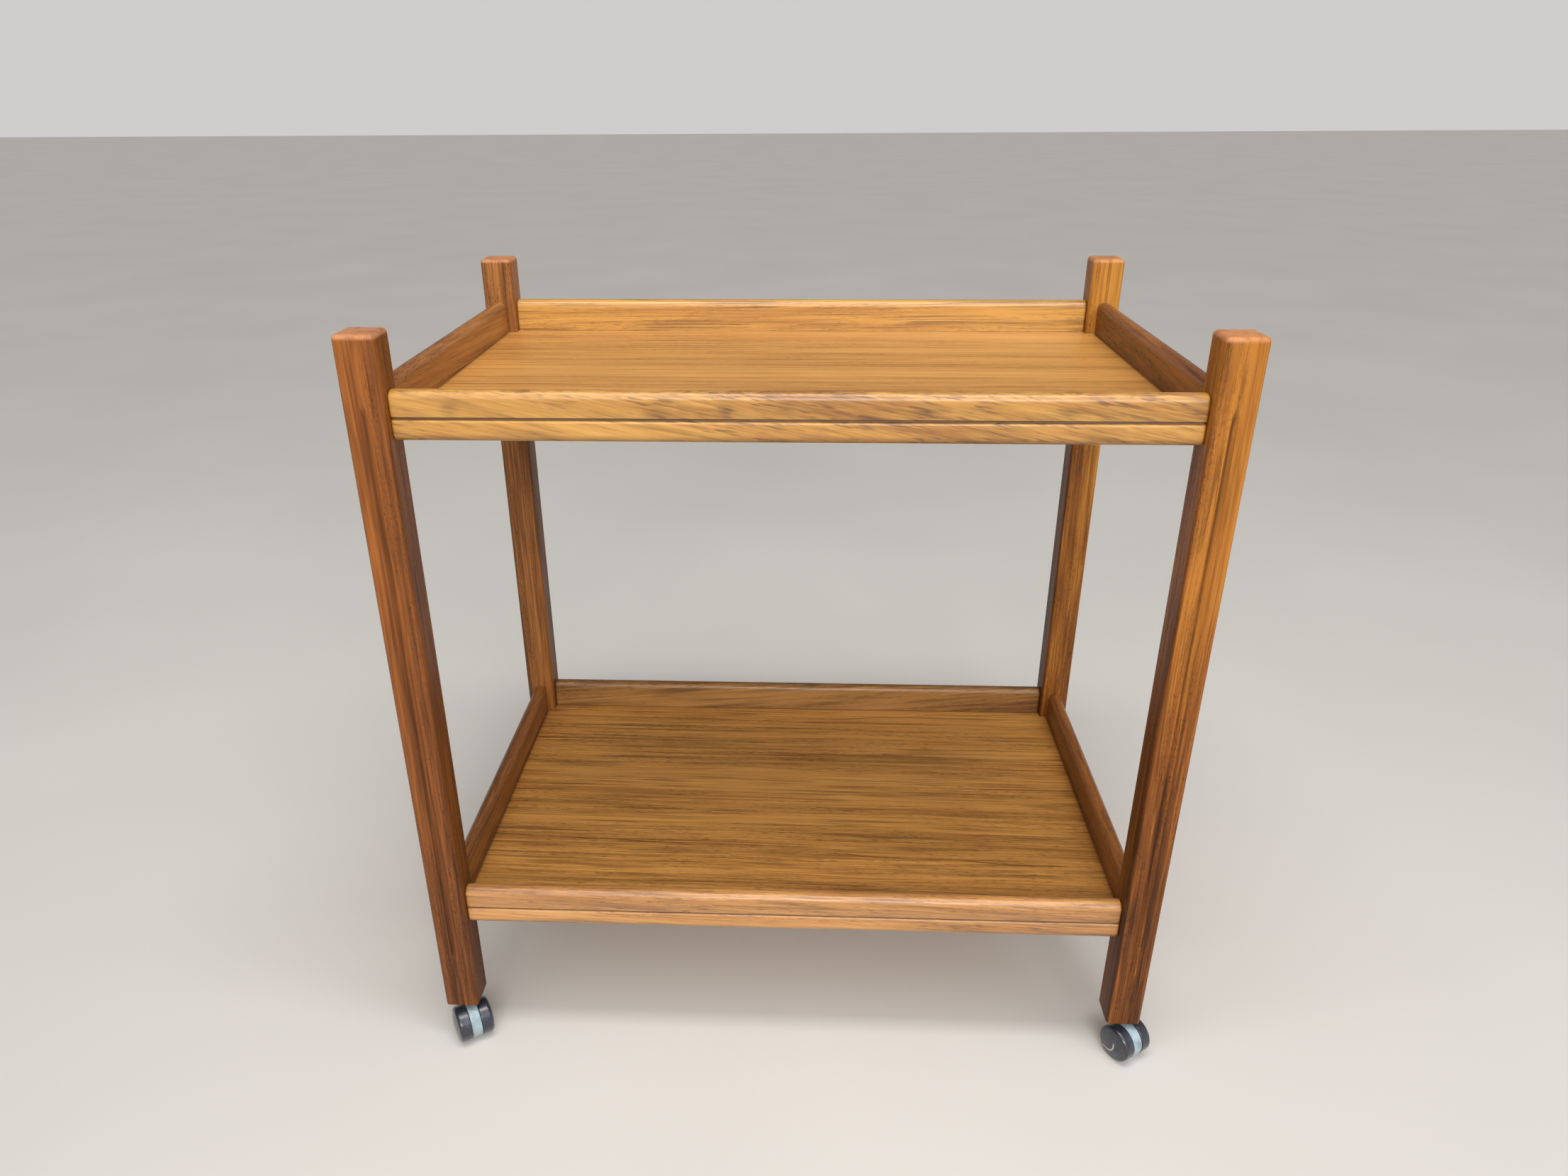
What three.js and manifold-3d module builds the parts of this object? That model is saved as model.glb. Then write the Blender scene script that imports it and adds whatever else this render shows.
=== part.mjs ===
// A two-tier teak drinks trolley: four square posts, two trays made of four rails round a
// thin veneered board, and a twin-wheel castor in the foot of each post.
// Millimetres, +Z up. The origin is on the floor under the middle of the trolley,
// +X runs along the long side to the right, and +Y runs to the back.
import * as THREE from "three";
import { mergeVertices } from "three/addons/utils/BufferGeometryUtils.js";
import Module from "manifold-3d";

const wasm = await Module();
wasm.setup();

// ---- Driving dimensions ----
const CART_LENGTH = 767; // over the posts, along X
const CART_DEPTH = 478; // over the posts, along Y
const LEG_SIDE = 36.5;
const LEG_LENGTH = 745.5;
const LEG_FOOT_Z = 47; // floor to the underside of a post
const LEG_EDGE_RADIUS = 4.6;
const LEG_TOP_RADIUS = 4.2; // less than the edge radius, which it wraps round

const FLUTE_RADIUS = 3.6;
const FLUTE_DEPTH = 2.2;
const FLUTE_BOTTOM_Z = LEG_FOOT_Z + 64.5;
const FLUTE_TOP_Z = LEG_FOOT_Z + 687.5;
const FLUTE_RUNOUT = 22; // the stretch over which each end of the flute rises to nothing

const RAIL_HEIGHT = 44.5;
const RAIL_THICKNESS = 16.5;
const RAIL_TOP_RADIUS = 7.5;
const RAIL_FOOT_RADIUS = 6.5; // outside only
const RAIL_END_RADIUS = 2.8;
const TIER_FOOT_Z = { lower: LEG_FOOT_Z + 111, upper: LEG_FOOT_Z + 651 };
const QUIRK_CENTRE = 20.5; // the outside groove, above the rail's underside
const QUIRK_WIDTH = 2.2;
const QUIRK_DEPTH = 2.4;

const BOARD_TOP = 8; // above the rail's underside
const BOARD_THICKNESS = 6;
const TONGUE_THICKNESS = 3;
const TONGUE_DEPTH = 6;

const DOWEL_RADIUS = 4;
const DOWEL_SIDES = 8;
const DOWEL_CHAMFER = 0.8;
const DOWEL_IN_RAIL = 16;
const DOWEL_IN_LEG = 15;
const DOWEL_LENGTHWAYS_Z = 33.5; // above the rail's underside, in the front and rear rails
const DOWEL_CROSSWAYS_Z = 14.8; // the same in the left and right rails, clear of the first

const WHEEL_RADIUS = 20;
const WHEEL_WIDTH = 15.5;
const HOUSING_WIDTH = 11.2;
const WHEEL_CLEARANCE = 0.35; // between a wheel and the housing beside it
const CASTOR_TRAIL = 13.5; // from the swivel axis to the wheels' axle
const CASTOR_TURN = 32; // degrees that the front castors stand turned about +Z
const AXLE_RADIUS = 2.5;
const STEM_RADIUS = 4;

const TOUCH_GAP = 0.3; // between pieces that touch
const OVERRUN = 1; // how far a cutter passes the face it cuts through
const HOLE_GAP = 0.3; // all round a pin or a dowel in its hole
const LEG_CENTRE_X = CART_LENGTH / 2 - LEG_SIDE / 2;
const LEG_CENTRE_Y = CART_DEPTH / 2 - LEG_SIDE / 2;
const RAIL_SETBACK = (LEG_SIDE - RAIL_THICKNESS) / 2;

// ---- Finishes ----
const finish = (color, roughness, metalness = 0) => ({ color, roughness, metalness });
const FINISHES = {
  postTeak: finish(0x925a34, 0.42),
  railTeak: finish(0xcb944f, 0.4),
  sideRailTeak: finish(0xa8703c, 0.42),
  upperVeneer: finish(0xd09758, 0.38),
  lowerVeneer: finish(0xa1703a, 0.4),
  beech: finish(0xd8b78a, 0.7),
  wheelPlastic: finish(0x34363c, 0.3),
  housingPlastic: finish(0xb4cdd6, 0.45),
  zincSteel: finish(0xaeb2b4, 0.35, 0.9),
};

// ---- Solids: three.js shapes in, manifold-3d joins and cuts, three.js geometry out ----
function solid(geometry) {
  const bare = new THREE.BufferGeometry();
  bare.setAttribute("position", geometry.getAttribute("position"));
  bare.setIndex(geometry.index);
  const merged = mergeVertices(bare, 1e-4);
  return new wasm.Manifold(
    new wasm.Mesh({
      numProp: 3,
      vertProperties: new Float32Array(merged.getAttribute("position").array),
      triVerts: new Uint32Array(merged.index.array),
    }),
  );
}

function geometryOf(body) {
  const mesh = body.getMesh();
  const geometry = new THREE.BufferGeometry();
  geometry.setAttribute("position", new THREE.BufferAttribute(mesh.vertProperties, 3));
  geometry.setIndex(new THREE.BufferAttribute(mesh.triVerts, 1));
  return geometry;
}

function box(low, high) {
  const size = high.map((value, i) => value - low[i]);
  const middle = high.map((value, i) => (value + low[i]) / 2);
  return solid(new THREE.BoxGeometry(...size).translate(...middle));
}

// A round bar along X, Y or Z between two stations on that axis, centred on at.
function bar(radius, along, from, to, at, sides = 16) {
  const geometry = new THREE.CylinderGeometry(radius, radius, to - from, sides);
  if (along === "x") geometry.rotateZ(-Math.PI / 2);
  if (along === "z") geometry.rotateX(Math.PI / 2);
  const centre = { x: at[0], y: at[1], z: at[2] };
  centre[along] = (from + to) / 2;
  return solid(geometry.translate(centre.x, centre.y, centre.z));
}

// A body turned about the Z axis from a closed profile of [radius, height] points.
function turned(points, sides) {
  const profile = points.map(([radius, height]) => new THREE.Vector2(radius, height));
  return new THREE.LatheGeometry(profile, sides).rotateX(Math.PI / 2);
}

// A rectangle whose four corners are arcs, given as radii from the low corner anticlockwise.
function roundedRectangle(width, height, radii) {
  const shape = new THREE.Shape();
  const [a, b, c, d] = radii;
  const quarter = Math.PI / 2;
  shape.moveTo(a, 0);
  shape.lineTo(width - b, 0);
  if (b > 0) shape.absarc(width - b, b, b, -quarter, 0, false);
  shape.lineTo(width, height - c);
  if (c > 0) shape.absarc(width - c, height - c, c, 0, quarter, false);
  shape.lineTo(d, height);
  if (d > 0) shape.absarc(d, height - d, d, quarter, 2 * quarter, false);
  shape.lineTo(0, a);
  if (a > 0) shape.absarc(a, a, a, 2 * quarter, 3 * quarter, false);
  return shape;
}

// The shape extruded to a length, with both ends rounded over inside its own outline.
function roundedBar(shape, length, endRadius, arcSteps, endSteps) {
  return new THREE.ExtrudeGeometry(shape, {
    depth: length - 2 * endRadius,
    curveSegments: arcSteps,
    bevelEnabled: true,
    bevelThickness: endRadius,
    bevelSize: endRadius,
    bevelOffset: -endRadius,
    bevelSegments: endSteps,
  }).translate(0, 0, endRadius);
}

const cart = new THREE.Group();

function addMesh(parent, name, geometry, finishName) {
  const mesh = new THREE.Mesh(geometry, new THREE.MeshStandardMaterial(FINISHES[finishName]));
  mesh.name = name;
  parent.add(mesh);
  return mesh;
}

const CORNERS = [
  { name: "front_left", x: -1, y: -1 },
  { name: "front_right", x: 1, y: -1 },
  { name: "rear_left", x: -1, y: 1 },
  { name: "rear_right", x: 1, y: 1 },
];

// ---- Posts ----
// A post is square with eased edges and a rounded top. It has a blind hole for each dowel,
// a hole up its foot for the castor's socket, and a stopped flute down its outside face.
const SOCKET_RADIUS = 5.7;
const SOCKET_HOLE_TOP_Z = LEG_FOOT_Z + 41;

function flute(faceY, outward) {
  const middle = (FLUTE_BOTTOM_Z + FLUTE_TOP_Z) / 2;
  const half = (FLUTE_TOP_Z - FLUTE_BOTTOM_Z) / 2;
  const steps = 3;
  const runout = [];
  for (let i = 0; i <= steps; i++) {
    const t = i / steps;
    const sink = FLUTE_DEPTH * Math.sin((t * Math.PI) / 2);
    runout.push([FLUTE_RADIUS - FLUTE_DEPTH + sink, half - FLUTE_RUNOUT * t]);
  }
  const below = runout.map(([radius, height]) => [radius, -height]);
  const profile = [[0, -half], ...below, ...runout.reverse(), [0, half]];
  const cutter = solid(turned(profile, 16));
  const axisY = faceY + outward * (FLUTE_RADIUS - FLUTE_DEPTH);
  return cutter.translate([0, axisY, middle]);
}

function postGeometry(corner) {
  const edge = Array(4).fill(LEG_EDGE_RADIUS);
  const outline = roundedRectangle(LEG_SIDE, LEG_SIDE, edge);
  const spare = LEG_TOP_RADIUS; // the rounded lower end, cut away to leave a flat foot
  const blank = roundedBar(outline, LEG_LENGTH + spare, LEG_TOP_RADIUS, 3, 2);
  blank.translate(-LEG_SIDE / 2, -LEG_SIDE / 2, LEG_FOOT_Z - spare);
  let post = solid(blank);
  const half = LEG_SIDE / 2;
  const past = half + OVERRUN;
  post = post.subtract(box([-past, -past, LEG_FOOT_Z - spare - OVERRUN], [past, past, LEG_FOOT_Z]));
  const inwardX = -corner.x;
  const inwardY = -corner.y;
  const holeRadius = DOWEL_RADIUS + HOLE_GAP;
  const holeEnd = half - DOWEL_IN_LEG - HOLE_GAP;
  for (const foot of Object.values(TIER_FOOT_Z)) {
    const spanX = [inwardX * holeEnd, inwardX * past].sort((p, q) => p - q);
    const atX = [0, 0, foot + DOWEL_LENGTHWAYS_Z];
    post = post.subtract(bar(holeRadius, "x", ...spanX, atX, DOWEL_SIDES));
    const spanY = [inwardY * holeEnd, inwardY * past].sort((p, q) => p - q);
    const atY = [0, 0, foot + DOWEL_CROSSWAYS_Z];
    post = post.subtract(bar(holeRadius, "y", ...spanY, atY, DOWEL_SIDES));
  }
  const socketHole = [LEG_FOOT_Z - OVERRUN, SOCKET_HOLE_TOP_Z];
  post = post.subtract(bar(SOCKET_RADIUS + HOLE_GAP, "z", ...socketHole, [0, 0, 0]));
  return geometryOf(post.subtract(flute(corner.y * half, corner.y)));
}

for (const corner of CORNERS) {
  const post = addMesh(cart, "leg_" + corner.name, postGeometry(corner), "postTeak");
  post.position.set(corner.x * LEG_CENTRE_X, corner.y * LEG_CENTRE_Y, 0);
}

// ---- Rails ----
// Every rail is built as a front rail: its outside face at y = 0, its inside at the
// thickness, its underside at z = 0, and its length along X about the middle.
const profileToRail = new THREE.Matrix4().makeBasis(
  new THREE.Vector3(0, 1, 0),
  new THREE.Vector3(0, 0, 1),
  new THREE.Vector3(1, 0, 0),
);

function quirkGeometry(length) {
  const shape = new THREE.Shape();
  shape.moveTo(-OVERRUN, QUIRK_CENTRE - QUIRK_WIDTH / 2);
  shape.lineTo(0, QUIRK_CENTRE - QUIRK_WIDTH / 2);
  shape.quadraticCurveTo(QUIRK_DEPTH, QUIRK_CENTRE, 0, QUIRK_CENTRE + QUIRK_WIDTH / 2);
  shape.lineTo(-OVERRUN, QUIRK_CENTRE + QUIRK_WIDTH / 2);
  const options = { depth: length, curveSegments: 3, bevelEnabled: false };
  return new THREE.ExtrudeGeometry(shape, options).applyMatrix4(profileToRail);
}

function railGeometry(length, dowelZ) {
  const radii = [RAIL_FOOT_RADIUS, 0, RAIL_TOP_RADIUS, RAIL_TOP_RADIUS];
  const outline = roundedRectangle(RAIL_THICKNESS, RAIL_HEIGHT, radii);
  const blank = roundedBar(outline, length, RAIL_END_RADIUS, 3, 1).applyMatrix4(profileToRail);
  let rail = solid(blank.translate(-length / 2, 0, 0));
  const quirk = quirkGeometry(length + 2 * OVERRUN).translate(-length / 2 - OVERRUN, 0, 0);
  rail = rail.subtract(solid(quirk));
  const tongueLow = BOARD_TOP - (BOARD_THICKNESS + TONGUE_THICKNESS) / 2 - TOUCH_GAP;
  const tongueHigh = tongueLow + TONGUE_THICKNESS + 2 * TOUCH_GAP;
  const grooveFloor = RAIL_THICKNESS - TONGUE_DEPTH - TOUCH_GAP;
  const past = length / 2 + OVERRUN;
  const grooveLow = [-past, grooveFloor, tongueLow];
  rail = rail.subtract(box(grooveLow, [past, RAIL_THICKNESS + OVERRUN, tongueHigh]));
  const holeRadius = DOWEL_RADIUS + HOLE_GAP;
  const holeFloor = length / 2 - DOWEL_IN_RAIL - HOLE_GAP;
  const middle = [0, RAIL_THICKNESS / 2, dowelZ];
  rail = rail.subtract(bar(holeRadius, "x", holeFloor, past, middle, DOWEL_SIDES));
  rail = rail.subtract(bar(holeRadius, "x", -past, -holeFloor, middle, DOWEL_SIDES));
  return geometryOf(rail);
}

const faceX = CART_LENGTH / 2 - RAIL_SETBACK;
const faceY = CART_DEPTH / 2 - RAIL_SETBACK;
const lengthways = {
  length: CART_LENGTH - 2 * LEG_SIDE - 2 * TOUCH_GAP,
  face: faceY,
  dowelZ: DOWEL_LENGTHWAYS_Z,
  wood: "railTeak",
};
const crossways = {
  length: CART_DEPTH - 2 * LEG_SIDE - 2 * TOUCH_GAP,
  face: faceX,
  dowelZ: DOWEL_CROSSWAYS_Z,
  wood: "sideRailTeak",
};
const SIDES = [
  { name: "front", turn: 0, ends: ["left", "right"], ...lengthways },
  { name: "rear", turn: 180, ends: ["right", "left"], ...lengthways },
  { name: "left", turn: -90, ends: ["rear", "front"], ...crossways },
  { name: "right", turn: 90, ends: ["front", "rear"], ...crossways },
];

// The dowel that joins a rail's end to the post beside it, along X in the rail's own frame.
function dowelGeometry() {
  const length = DOWEL_IN_RAIL + DOWEL_IN_LEG + TOUCH_GAP;
  const profile = [
    [0, 0],
    [DOWEL_RADIUS - DOWEL_CHAMFER, 0],
    [DOWEL_RADIUS, DOWEL_CHAMFER],
    [DOWEL_RADIUS, length - DOWEL_CHAMFER],
    [DOWEL_RADIUS - DOWEL_CHAMFER, length],
    [0, length],
  ];
  return turned(profile, DOWEL_SIDES).rotateY(Math.PI / 2).translate(-DOWEL_IN_RAIL, 0, 0);
}

for (const [tier, foot] of Object.entries(TIER_FOOT_Z)) {
  for (const side of SIDES) {
    const place = new THREE.Group();
    place.rotation.z = THREE.MathUtils.degToRad(side.turn);
    cart.add(place);
    const railName = `${tier}_${side.name}`;
    const shape = railGeometry(side.length, side.dowelZ);
    const rail = addMesh(place, "rail_" + railName, shape, side.wood);
    rail.position.set(0, -side.face, foot);
    side.ends.forEach((end, i) => {
      const sign = i === 0 ? -1 : 1;
      const dowel = addMesh(place, `dowel_${railName}_${end}`, dowelGeometry(), "beech");
      dowel.rotation.z = sign < 0 ? Math.PI : 0;
      const x = (sign * side.length) / 2;
      dowel.position.set(x, -side.face + RAIL_THICKNESS / 2, foot + side.dowelZ);
    });
  }
}

// ---- Boards ----
// A board fills the tray between the rails, notched round the posts, and its tongue runs in
// the groove of each rail.
function boardGeometry() {
  const inX = faceX - RAIL_THICKNESS - TOUCH_GAP;
  const inY = faceY - RAIL_THICKNESS - TOUCH_GAP;
  const postX = CART_LENGTH / 2 - LEG_SIDE - TOUCH_GAP;
  const postY = CART_DEPTH / 2 - LEG_SIDE - TOUCH_GAP;
  const tongueX = inX + TONGUE_DEPTH;
  const tongueY = inY + TONGUE_DEPTH;
  const low = BOARD_TOP - BOARD_THICKNESS;
  const tongueLow = low + (BOARD_THICKNESS - TONGUE_THICKNESS) / 2;
  const tongueHigh = tongueLow + TONGUE_THICKNESS;
  let board = box([-inX, -postY, low], [inX, postY, BOARD_TOP]);
  board = board.add(box([-postX, -inY, low], [postX, inY, BOARD_TOP]));
  board = board.add(box([-tongueX, -postY, tongueLow], [tongueX, postY, tongueHigh]));
  board = board.add(box([-postX, -tongueY, tongueLow], [postX, tongueY, tongueHigh]));
  return geometryOf(board);
}

for (const [tier, foot] of Object.entries(TIER_FOOT_Z)) {
  const board = addMesh(cart, "board_" + tier, boardGeometry(), tier + "Veneer");
  board.position.z = foot;
}

// ---- Castors ----
// A castor's own frame has the swivel axis on Z and the axle along X. The wheels trail
// behind the swivel axis, towards -Y.
const CAP_HEIGHT = 1.3; // the socket's flange
const SOCKET_TOP_Z = SOCKET_HOLE_TOP_Z - HOLE_GAP;
const SOCKET_FOOT_Z = LEG_FOOT_Z - TOUCH_GAP - CAP_HEIGHT;
const SOCKET_FLANGE_RADIUS = 9;
const STEM_FOOT_Z = 26;
const STEM_TOP_Z = LEG_FOOT_Z + 36;
const STEM_POINT = 1.8; // the chamfer on the stem's top
const RING_SINK = 0.8; // the ring groove that the socket grips
const RING_SPAN = { low: 7, high: 4.5, slope: 1 }; // the same, below the stem's top
const COLLAR_RADIUS = 8.5;
const COLLAR_FOOT_Z = 40.6;
const COLLAR_TOP_Z = 44.6;
const HOUSING_RADIUS = 19.5;
const HOUSING_CUT_Z = 4; // the housing's flat underside, clear of the floor
const BOSS_UNDER_STEM = 4; // solid plastic below the stem's hole
const AXLE_HALF = 16.8;
const AXLE_CHAMFER = 0.5;
const WHEEL_SIDES = 24;
const WHEEL_BORE = AXLE_RADIUS + 0.17; // its facets just clear the axle
const WHEEL_HUB = 5.5;
const WHEEL_WALL = 3;
const WHEEL_DOME = 2; // how far the outside face swells
const WHEEL_SHOULDER = 3.6;

function socketGeometry() {
  const bore = STEM_RADIUS + HOLE_GAP + 0.1;
  const profile = [
    [bore, SOCKET_FOOT_Z],
    [SOCKET_FLANGE_RADIUS, SOCKET_FOOT_Z],
    [SOCKET_FLANGE_RADIUS, SOCKET_FOOT_Z + CAP_HEIGHT],
    [SOCKET_RADIUS, SOCKET_FOOT_Z + CAP_HEIGHT],
    [SOCKET_RADIUS, SOCKET_TOP_Z],
    [bore, SOCKET_TOP_Z],
    [bore, SOCKET_FOOT_Z],
  ];
  return turned(profile, 16);
}

// The steel stem, with the ring groove near its top that the socket grips.
function stemGeometry() {
  const neck = STEM_RADIUS - RING_SINK;
  const { low, high, slope } = RING_SPAN;
  const profile = [
    [0, STEM_FOOT_Z],
    [STEM_RADIUS, STEM_FOOT_Z],
    [STEM_RADIUS, STEM_TOP_Z - low - slope],
    [neck, STEM_TOP_Z - low],
    [neck, STEM_TOP_Z - high],
    [STEM_RADIUS, STEM_TOP_Z - high + slope],
    [STEM_RADIUS, STEM_TOP_Z - STEM_POINT],
    [STEM_RADIUS - STEM_POINT, STEM_TOP_Z],
    [0, STEM_TOP_Z],
  ];
  return turned(profile, 12);
}

// The plastic housing: a disc between the wheels, a boss up to the stem, and a collar.
function housingGeometry() {
  const half = HOUSING_WIDTH / 2;
  const disc = bar(HOUSING_RADIUS, "x", -half, half, [0, -CASTOR_TRAIL, WHEEL_RADIUS], 32);
  const past = half + OVERRUN;
  const reach = CASTOR_TRAIL + HOUSING_RADIUS + OVERRUN;
  const floor = WHEEL_RADIUS - HOUSING_RADIUS - OVERRUN;
  const under = box([-past, -reach, floor], [past, reach, HOUSING_CUT_Z]);
  const bossFoot = STEM_FOOT_Z - BOSS_UNDER_STEM;
  const boss = bar(half, "z", bossFoot, (COLLAR_FOOT_Z + COLLAR_TOP_Z) / 2, [0, 0, 0]);
  const collar = bar(COLLAR_RADIUS, "z", COLLAR_FOOT_Z, COLLAR_TOP_Z, [0, 0, 0], 24);
  const stemHole = [STEM_FOOT_Z - HOLE_GAP, COLLAR_TOP_Z + OVERRUN];
  const axleAt = [0, -CASTOR_TRAIL, WHEEL_RADIUS];
  const housing = disc
    .subtract(under)
    .add(boss)
    .add(collar)
    .subtract(bar(STEM_RADIUS + HOLE_GAP, "z", ...stemHole, [0, 0, 0]))
    .subtract(bar(AXLE_RADIUS + HOLE_GAP, "x", -past, past, axleAt));
  return geometryOf(housing);
}

function axleGeometry() {
  const profile = [
    [0, -AXLE_HALF],
    [AXLE_RADIUS - AXLE_CHAMFER, -AXLE_HALF],
    [AXLE_RADIUS, AXLE_CHAMFER - AXLE_HALF],
    [AXLE_RADIUS, AXLE_HALF - AXLE_CHAMFER],
    [AXLE_RADIUS - AXLE_CHAMFER, AXLE_HALF],
    [0, AXLE_HALF],
  ];
  return turned(profile, 16).rotateY(Math.PI / 2);
}

// A moulded wheel with a closed, slightly domed outside face. Behind it a hub tube holds
// the blind bore for the axle, and a hollow ring keeps the rim's wall even. The rim's flats
// are as far from the axle as the real round rim.
function wheelGeometry() {
  const inside = HOUSING_WIDTH / 2 + WHEEL_CLEARANCE;
  const outside = inside + WHEEL_WIDTH;
  const rim = WHEEL_RADIUS / Math.cos(Math.PI / WHEEL_SIDES);
  const boreEnd = AXLE_HALF + WHEEL_CLEARANCE;
  const edge = outside - WHEEL_DOME;
  const faceInside = edge - WHEEL_WALL;
  const bend = 1 - Math.SQRT1_2; // how far the middle of a rounded corner is drawn in
  const flat = rim - WHEEL_SHOULDER;
  const domeAt = (radius) => outside - WHEEL_DOME * (radius / flat) ** 2;
  const profile = [
    [0, boreEnd],
    [WHEEL_BORE, boreEnd],
    [WHEEL_BORE, inside],
    [WHEEL_HUB, inside],
    [WHEEL_HUB, faceInside],
    [rim - WHEEL_WALL, faceInside],
    [rim - WHEEL_WALL, inside],
    [rim, inside],
    [rim, edge - WHEEL_SHOULDER],
    [rim - bend * WHEEL_SHOULDER, edge - bend * WHEEL_SHOULDER],
    [flat, edge],
    [flat / 2, domeAt(flat / 2)],
    [0, outside],
  ];
  const flatDown = Math.PI / WHEEL_SIDES;
  return turned(profile, WHEEL_SIDES).rotateZ(flatDown).rotateY(Math.PI / 2);
}

for (const corner of CORNERS) {
  const castor = new THREE.Group();
  const rearTurn = corner.y > 0 ? 180 : 0;
  castor.rotation.z = THREE.MathUtils.degToRad(CASTOR_TURN + rearTurn);
  castor.position.set(corner.x * LEG_CENTRE_X, corner.y * LEG_CENTRE_Y, 0);
  cart.add(castor);
  addMesh(castor, "castor_socket_" + corner.name, socketGeometry(), "zincSteel");
  addMesh(castor, "castor_stem_" + corner.name, stemGeometry(), "zincSteel");
  addMesh(castor, "castor_housing_" + corner.name, housingGeometry(), "housingPlastic");
  const axle = addMesh(castor, "castor_axle_" + corner.name, axleGeometry(), "zincSteel");
  axle.position.set(0, -CASTOR_TRAIL, WHEEL_RADIUS);
  for (const [side, turn] of [["left", Math.PI], ["right", 0]]) {
    const name = `wheel_${side}_${corner.name}`;
    const wheel = addMesh(castor, name, wheelGeometry(), "wheelPlastic");
    wheel.position.set(0, -CASTOR_TRAIL, WHEEL_RADIUS);
    wheel.rotation.z = turn;
  }
}

export default cart;
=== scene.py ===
import bpy
import numpy as np
from mathutils import Matrix, Vector


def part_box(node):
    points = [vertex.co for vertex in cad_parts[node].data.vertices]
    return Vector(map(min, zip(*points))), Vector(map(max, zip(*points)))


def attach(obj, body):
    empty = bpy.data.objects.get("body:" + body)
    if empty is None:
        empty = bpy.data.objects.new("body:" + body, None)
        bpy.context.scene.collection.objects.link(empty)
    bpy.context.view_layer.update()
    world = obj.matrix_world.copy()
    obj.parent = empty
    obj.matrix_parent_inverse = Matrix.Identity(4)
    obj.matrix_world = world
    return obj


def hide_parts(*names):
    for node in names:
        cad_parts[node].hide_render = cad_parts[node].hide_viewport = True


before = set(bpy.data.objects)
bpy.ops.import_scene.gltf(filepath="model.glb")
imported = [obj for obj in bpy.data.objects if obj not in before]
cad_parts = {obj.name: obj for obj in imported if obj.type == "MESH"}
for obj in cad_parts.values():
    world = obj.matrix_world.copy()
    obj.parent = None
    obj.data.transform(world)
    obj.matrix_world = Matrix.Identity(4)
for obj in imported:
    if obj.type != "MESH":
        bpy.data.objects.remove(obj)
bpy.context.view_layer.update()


# ---- Posts ----
# Four square posts of solid teak, planed, oiled, their edges eased and their tops rounded over.
# A cove cutter has run a stopped flute down the outside face of each, and the foot is bored
# for a castor's socket. The rails are dowelled into them.
MM = 0.001
CORNERS = ("front_left", "front_right", "rear_left", "rear_right")
POST_EDGE = 4.6 * MM
POST_TOP_ROUND = 4.2 * MM
POST_CROWN = 0.3 * MM
POST_ARRIS = 0.6 * MM
FLUTE_RADIUS = 3.6 * MM
FLUTE_HALF = 3.7 * MM
FLUTE_DEPTH = 2.2 * MM
FLUTE_RUNOUT = 20 * MM
FLUTE_ABOVE_FOOT = 64.5 * MM
FLUTE_UNDER_TOP = 58 * MM
FOOT_BORE = 6 * MM
FOOT_BORE_DEPTH = 41 * MM
GRAIN_UP = (0.0, np.pi / 2, 0.0)


def closed_skin(name, rings):
    """A stack of closed rings, rings[i, j]: each is joined to the next by four-sided faces, and
    the first and the last draw in to their own middle point. If the enclosed volume, the sum
    over triangles a, b, c of a . (b x c) / 6, is below zero, every face is turned over."""
    count, around = rings.shape[:2]
    points = np.concatenate([rings.reshape(-1, 3), rings[[0, -1]].mean(axis=1)])
    i, j = np.meshgrid(np.arange(count - 1) * around, np.arange(around), indexing="ij")
    after = (j + 1) % around
    quads = np.stack([i + j, i + after, i + around + after, i + around + j], -1).reshape(-1, 4)
    j = np.arange(around)
    after = (j + 1) % around
    last = (count - 1) * around
    low = np.stack([after, j, np.full(around, count * around)], -1)
    high = np.stack([last + j, last + after, np.full(around, count * around + 1)], -1)
    halves = np.concatenate([quads[:, [0, 1, 2]], quads[:, [0, 2, 3]], low, high])
    a, b, c = np.moveaxis(points[halves], 1, 0)
    if np.einsum("ij,ij->i", a, np.cross(b, c)).sum() < 0:
        quads, low, high = quads[:, ::-1], low[:, ::-1], high[:, ::-1]
    mesh = bpy.data.meshes.new(name)
    mesh.from_pydata(points.tolist(), [], [*quads.tolist(), *low.tolist(), *high.tolist()])
    mesh.polygons.foreach_set("use_smooth", np.ones(len(mesh.polygons), bool))
    piece = bpy.data.objects.new(name, mesh)
    bpy.context.scene.collection.objects.link(piece)
    return piece


def quarter_round(radius, steps):
    """A rounded edge, from the plain face to the end: how far each point is drawn in,
    r (1 - cos a), and how far it falls short of the end, r (1 - sin a)."""
    a = np.linspace(0, np.pi / 2, steps)
    return radius * (1 - np.cos(a)), radius * (1 - np.sin(a))


def eased_square(half, radius, across):
    """The outline of a square with rounded corners, as complex numbers, and the outward direction
    at each point: one side and the quarter circle after it, turned four times by a right angle."""
    angle = np.linspace(-np.pi / 2, 0, 10)[1:-1]
    side = across - 1j * half
    arc_out = np.exp(1j * angle)
    arc = (half - radius) * (1 - 1j) + radius * arc_out
    quarter = np.concatenate([side, arc])
    outward = np.concatenate([np.full(len(side), -1j), arc_out])
    return tuple(np.concatenate([part * 1j**k for k in range(4)]) for part in (quarter, outward))


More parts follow.
